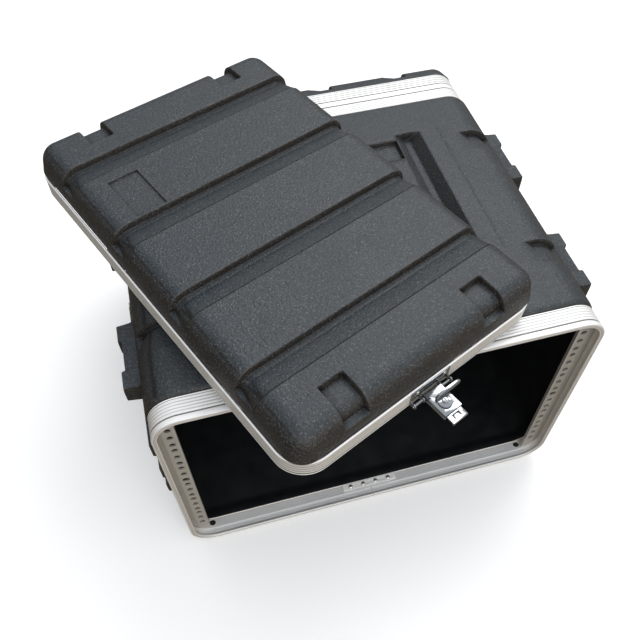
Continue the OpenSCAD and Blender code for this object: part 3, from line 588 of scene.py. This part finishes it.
def groove_profile(u):
    """Depth across the grooves, from 0 to 1: a steep wall, a flat, a long slope and a fine end line."""
    g = np.zeros_like(u)
    for k in GROOVES:
        x = u - k
        rise = sstep(x, -0.4, 2.2)
        ramp = np.interp(x, [2.2, 7.5, 14.0, 22.0, 29.6, 30.4], [1.0, 1.0, 0.72, 0.38, 0.12, 0.0])
        g = np.maximum(g, np.where(x < 2.2, rise, ramp) * (x > -1.0) * (x < 31.0))
        g = np.maximum(g, 0.18 * (1 - np.clip((np.abs(x - 30.0) - 0.2) / 0.7, 0.0, 1.0)))
    return g


def lid_relief(u, v, w, nv, nw):
    """How far the lid's skin lies inside its plain box, in mm."""
    depth = groove_profile(u) * (GROOVE_D - 2.6 * sstep(np.abs(nv), 0.55, 0.95))
    depth = depth * sstep(w, 36.5, 39.0)
    au, av = np.abs(u), np.abs(v)
    pocket = band(av, 77.5, 102.5, 2.6) * sstep(au, 203.5, 206.5) * sstep(w, 36.5, 39.0)
    depth = np.maximum(depth, pocket * LID_POCKET_D)
    badge = band(u, -134.7, -73.3, 0.4) * band(v, -121.7, -86.3, 0.4) * sstep(nw, 0.95, 0.999)
    return np.maximum(depth, badge * BADGE_D)


def lattice(xs, ys, zs):
    """The top and four sides of a box as one welded quad grid: unique corner indices and faces."""
    nx, ny, nz = len(xs), len(ys), len(zs)

    def ident(i, j, k):
        return (i * ny + j) * nz + k

    quads, low = [], []

    def wall(corners, flip):
        qd = np.stack(corners, -1)
        if flip:
            qd = qd[..., ::-1]
        quads.append(qd.reshape(-1, 4))
        e = qd[:, 0]
        low.append(e[:, [3, 2]] if flip else e[:, [0, 1]])

    I, J = np.meshgrid(np.arange(nx - 1), np.arange(ny - 1), indexing="ij")
    k = nz - 1
    top = [ident(I, J, k), ident(I + 1, J, k), ident(I + 1, J + 1, k), ident(I, J + 1, k)]
    quads.append(np.stack(top, -1).reshape(-1, 4))
    I, K = np.meshgrid(np.arange(nx - 1), np.arange(nz - 1), indexing="ij")
    for j, flip in ((0, False), (ny - 1, True)):
        wall([ident(I, j, K), ident(I + 1, j, K), ident(I + 1, j, K + 1), ident(I, j, K + 1)], flip)
    J, K = np.meshgrid(np.arange(ny - 1), np.arange(nz - 1), indexing="ij")
    for i, flip in ((nx - 1, False), (0, True)):
        wall([ident(i, J, K), ident(i, J + 1, K), ident(i, J + 1, K + 1), ident(i, J, K + 1)], flip)
    q = np.concatenate(quads)
    uniq, inv = np.unique(q, return_inverse=True)
    inv = inv.reshape(q.shape)
    back = {int(a): n for n, a in enumerate(uniq)}
    edges = [(back[int(a)], back[int(b)]) for e in low for a, b in e]
    i, rest = np.divmod(uniq, ny * nz)
    j, k = np.divmod(rest, nz)
    return np.stack([np.asarray(xs)[i], np.asarray(ys)[j], np.asarray(zs)[k]], 1), inv, edges


def make_lid(name, node, body, place):
    """A lid's moulding: a box rounded by its edge radius, its relief pushed in, and a lining behind it."""
    tans = [LR * math.tan(math.radians(a)) for a in np.linspace(0, 45, 9)[1:]]

    def side_lines(half, step, marks):
        inner = spaced(-(half - LR), half - LR, step, marks, 1.9)
        low_end = [-(half - LR) - t for t in tans[::-1]]
        return np.concatenate([low_end, inner, [(half - LR) + t for t in tans]])

    um = [g + 0.9 for g in GROOVES] + [g + 30.0 for g in GROOVES] + [g + 7.5 for g in GROOVES]
    um += [-204.5, 204.5, -135.0, -73.0]
    xs = side_lines(LW, 7.5, um)
    ys = side_lines(LH, 7.5, [-103.8, -76.2, 76.2, 103.8, -122, -86])
    zs = np.concatenate([[LID_FRAME_D, 24.2, 26.0, LTOP - LR], [LTOP - LR + t for t in tans]])
    zs = np.unique(np.concatenate([zs, [35.5, 36.6, 37.4, 38.2, 39.2, 40.5]]))
    box, quads, low = lattice(xs, ys, zs)
    inner = np.stack([np.clip(box[:, 0], -(LW - LR), LW - LR), np.clip(box[:, 1], -(LH - LR), LH - LR),
                      np.minimum(box[:, 2], LTOP - LR)], 1)
    n = box - inner
    n /= np.linalg.norm(n, axis=1)[:, None]
    out = inner + n * LR
    d = lid_relief(out[:, 0], out[:, 1], out[:, 2], n[:, 1], n[:, 2])
    flare = 3.5 * np.clip((40.0 - out[:, 2]) / 16.5, 0.0, 1.0) ** 1.2
    tuck = 1.3 * (1 - sstep(out[:, 2], 23.5, 25.5)) - flare
    skin = out - n * (d + tuck)[:, None]
    lining = out - n * (3.0 + np.minimum(d, 6.0))[:, None]
    lining[:, 2] = np.minimum(lining[:, 2], LTOP - 3.0 - d)
    count = len(skin)
    faces = [tuple(f) for f in quads] + [tuple(c + count for c in f[::-1]) for f in quads]
    faces += [(b, a, a + count, b + count) for a, b in low]
    mi = [0] * len(quads) + [1] * len(quads) + [0] * len(low)
    both = np.concatenate([skin, lining])
    ob = add_mesh(name, both, faces, [ABS, ABS_IN], body, place, None, mi, 60.0)
    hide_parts(node)
    return ob


# ------------------------------------------------------------------ build

make_body_shell()
make_frames()
make_lid("front_lid_moulding", "front_lid_shell", "front_lid", FRONT_LID)
make_lid("rear_lid_moulding", "rear_lid_shell", "rear_lid", REAR_LID)

bodies = frame["record"]["behaviour"]["bodies"]
body_of = {n: b for b, ns in bodies.items() for n in ns}
made = {"body_shell", "front_frame", "rear_frame"}
made |= {"front_lid_shell", "rear_lid_shell", "front_lid_frame", "rear_lid_frame"}
# The first word found in a node's name gives its material and how far its edges are eased, in mm
finishes = [("rail_left", RAIL, 0.35), ("rail_right", RAIL, 0.35), ("rivets", RIVET, 0.12)]
finishes += [("grip", GRIP, 1.6), ("splice", ALU, 0.3), ("pin", ZINC, 0.25), ("", ZINC, 0.3)]
for node, body in body_of.items():
    if node not in made:
        mat, width = next((m, w) for word, m, w in finishes if word in node)
        refined(node, mat, body, width)

# ------------------------------------------------------------------ stage

floor_z = -0.1655
bm = bmesh.new()
bmesh.ops.create_grid(bm, x_segments=2, y_segments=2, size=30.0)
me = bpy.data.meshes.new("floor")
bm.to_mesh(me)
bm.free()
floor = bpy.data.objects.new("floor", me)
floor.location = (0, 0, floor_z - 0.0002)
scene.collection.objects.link(floor)
t = Tree("floor_paint")
fx = t.node("SeparateXYZ", 0, None, Vector=t.coords())
fy = t.node("SeparateXYZ", 1, None, Vector=t.coords())
# Painted shadow: the floor under the case is painted near black and loses its glow.
painted_shadow_under_case = t.math("MULTIPLY", t.ramp(t.math("ABSOLUTE", fx), 0.228, 0.244, 1.0, 0.0),
               t.math("MULTIPLY", t.ramp(fy, -0.004, 0.006), t.ramp(fy, 0.398, 0.410, 1.0, 0.0)))
paint = t.mix(painted_shadow_under_case, (0.93, 0.93, 0.93), (0.02, 0.02, 0.02))
glow = t.ramp(painted_shadow_under_case, 0.0, 1.0, 0.17, 0.0)
white = (1.0, 1.0, 1.0, 1.0)
me.materials.append(t.finish(Base_Color=paint, Roughness=0.9, Emission_Color=white, Emission_Strength=glow))
floor.visible_glossy = False
floor.visible_diffuse = False

world = bpy.data.worlds.new("studio")
scene.world = world
world.use_nodes = True
wt = world.node_tree
wt.nodes.clear()
wo = wt.nodes.new("ShaderNodeOutputWorld")
bg = wt.nodes.new("ShaderNodeBackground")
wt.links.new(bg.outputs[0], wo.inputs[0])
tc = wt.nodes.new("ShaderNodeTexCoord")
sep = wt.nodes.new("ShaderNodeSeparateXYZ")
wt.links.new(tc.outputs["Generated"], sep.inputs[0])
rp = wt.nodes.new("ShaderNodeValToRGB")
rp.color_ramp.elements[0].position = 0.0
rp.color_ramp.elements[0].color = (0.27, 0.245, 0.21, 1)
rp.color_ramp.elements[1].position = 1.0
rp.color_ramp.elements[1].color = (1.0, 1.03, 1.08, 1)
for pos, col in ((0.14, (0.36, 0.33, 0.29, 1)), (0.36, (0.74, 0.74, 0.74, 1)), (0.62, (0.95, 0.97, 1.0, 1))):
    rp.color_ramp.elements.new(pos).color = col
wt.links.new(sep.outputs[2], rp.inputs[0])
dim = wt.nodes.new("ShaderNodeMapRange")
wt.links.new(sep.outputs[0], dim.inputs[0])
for k, value in enumerate((-0.80, -0.12, 0.42, 1.0)):
    dim.inputs[1 + k].default_value = value
scaled = wt.nodes.new("ShaderNodeVectorMath")
scaled.operation = "SCALE"
wt.links.new(rp.outputs[0], scaled.inputs[0])
wt.links.new(dim.outputs[0], scaled.inputs["Scale"])
wt.links.new(scaled.outputs[0], bg.inputs[0])
bg.inputs[1].default_value = 1.0
paper = wt.nodes.new("ShaderNodeBackground")
paper.inputs[0].default_value = (1, 1, 1, 1)
seen = wt.nodes.new("ShaderNodeMixShader")
wt.links.new(wt.nodes.new("ShaderNodeLightPath").outputs["Is Camera Ray"], seen.inputs[0])
wt.links.new(bg.outputs[0], seen.inputs[1])
wt.links.new(paper.outputs[0], seen.inputs[2])
wt.links.new(seen.outputs[0], wo.inputs[0])


def area(name, loc, target, size, power, color=(1, 1, 1)):
    data = bpy.data.lights.new(name, "AREA")
    data.shape = "RECTANGLE"
    data.size, data.size_y = size
    data.energy = power
    data.color = color
    ob = bpy.data.objects.new(name, data)
    ob.location = loc
    ob.rotation_euler = (Vector(target) - Vector(loc)).to_track_quat("-Z", "Y").to_euler()
    scene.collection.objects.link(ob)
    return ob


area("key", (0.9, 1.2, 2.2), (0, 0.2, 0), (1.6, 1.2), 26.0, (1.0, 0.99, 0.97))
area("fill", (-1.6, -1.4, 1.6), (0, 0.2, 0), (2.0, 2.0), 5.0, (1.0, 0.97, 0.93))
area("front", (0.25, -2.0, 1.25), (0, 0.0, 0), (1.8, 1.2), 17.0, (0.98, 0.99, 1.0))

cam_data = bpy.data.cameras.new("camera")
cam_data.lens = 39.34
cam_data.sensor_width = 36.0
cam_data.clip_start = 0.01
cam_data.shift_x = 0.0025
cam_data.shift_y = -0.0035
cam = bpy.data.objects.new("camera", cam_data)
right = Vector((0.9663, -0.2574, -0.0082)).normalized()
ahead = Vector((0.1464, 0.5752, -0.8048)).normalized()
up = right.cross(ahead).normalized()
right = ahead.cross(up).normalized()
rot = Matrix((right, up, -ahead)).transposed().to_4x4()
cam.matrix_world = Matrix.Translation(Vector((-0.1635, -0.3586, 0.7660))) @ rot
scene.collection.objects.link(cam)
scene.camera = cam
scene.view_settings.view_transform = "Standard"
scene.view_settings.look = "None"
